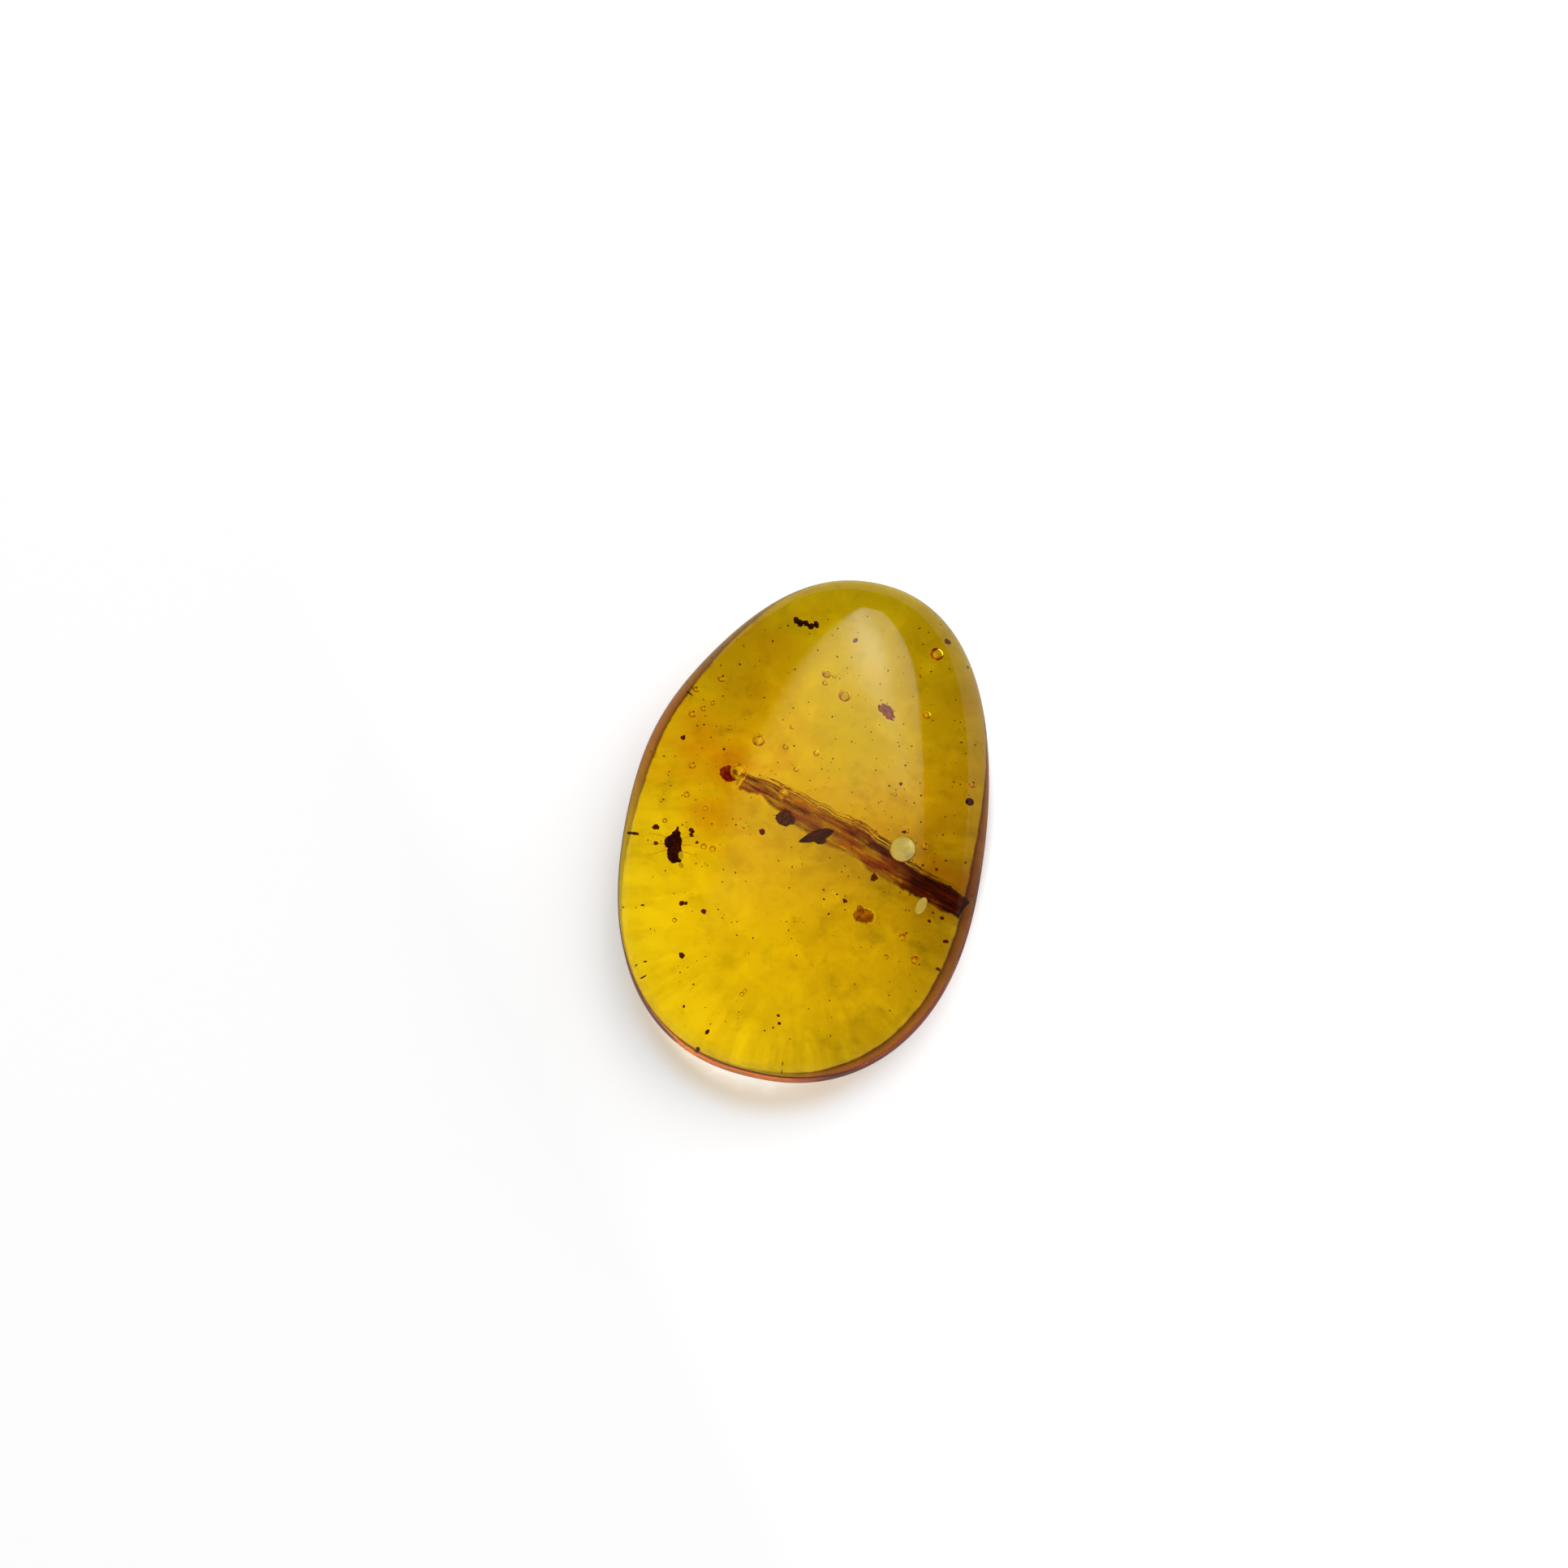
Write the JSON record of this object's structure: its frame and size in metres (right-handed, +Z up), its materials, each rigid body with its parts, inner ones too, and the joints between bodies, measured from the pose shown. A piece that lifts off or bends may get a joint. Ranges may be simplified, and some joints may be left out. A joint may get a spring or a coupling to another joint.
{
  "type": "polished amber piece with insect and plant inclusions",
  "caption": "Polished egg-shaped piece of clear amber with a strip of plant fibre, a small beetle, litter crumbs and bubbles sealed inside; it rests on its flat underside.",
  "frame": {"origin": "middle of the box of the stone, on the surface that it rests on", "axes": "+Y along the stone towards its narrow end, +X across it towards the end of the plant strip that reaches the rim, +Z up out of the dome"},
  "size_m": [0.018, 0.0254, 0.0067],
  "materials": {
    "amber": "clear golden fossil resin, hand polished, brownish skin along the rim",
    "plant_fibre": "brown fibrous plant tissue, darker at one end",
    "chitin": "dark brown insect shell with a slight gloss",
    "litter": "dark brown bark, bud and wood crumbs",
    "dark_resin": "dark red-brown resin drop"
  },
  "bodies": {
    "root": {"amber_lower": "amber", "amber_upper": "amber", "plant_strip": "plant_fibre", "insect": "chitin", "bud_scale": "litter", "bark_crumb": "litter", "resin_drop": "dark_resin", "frass_chain": "litter", "leaf_flake": "litter", "wood_crumb": "litter", "dark_pellet": "litter"}
  },
  "joints": []
}
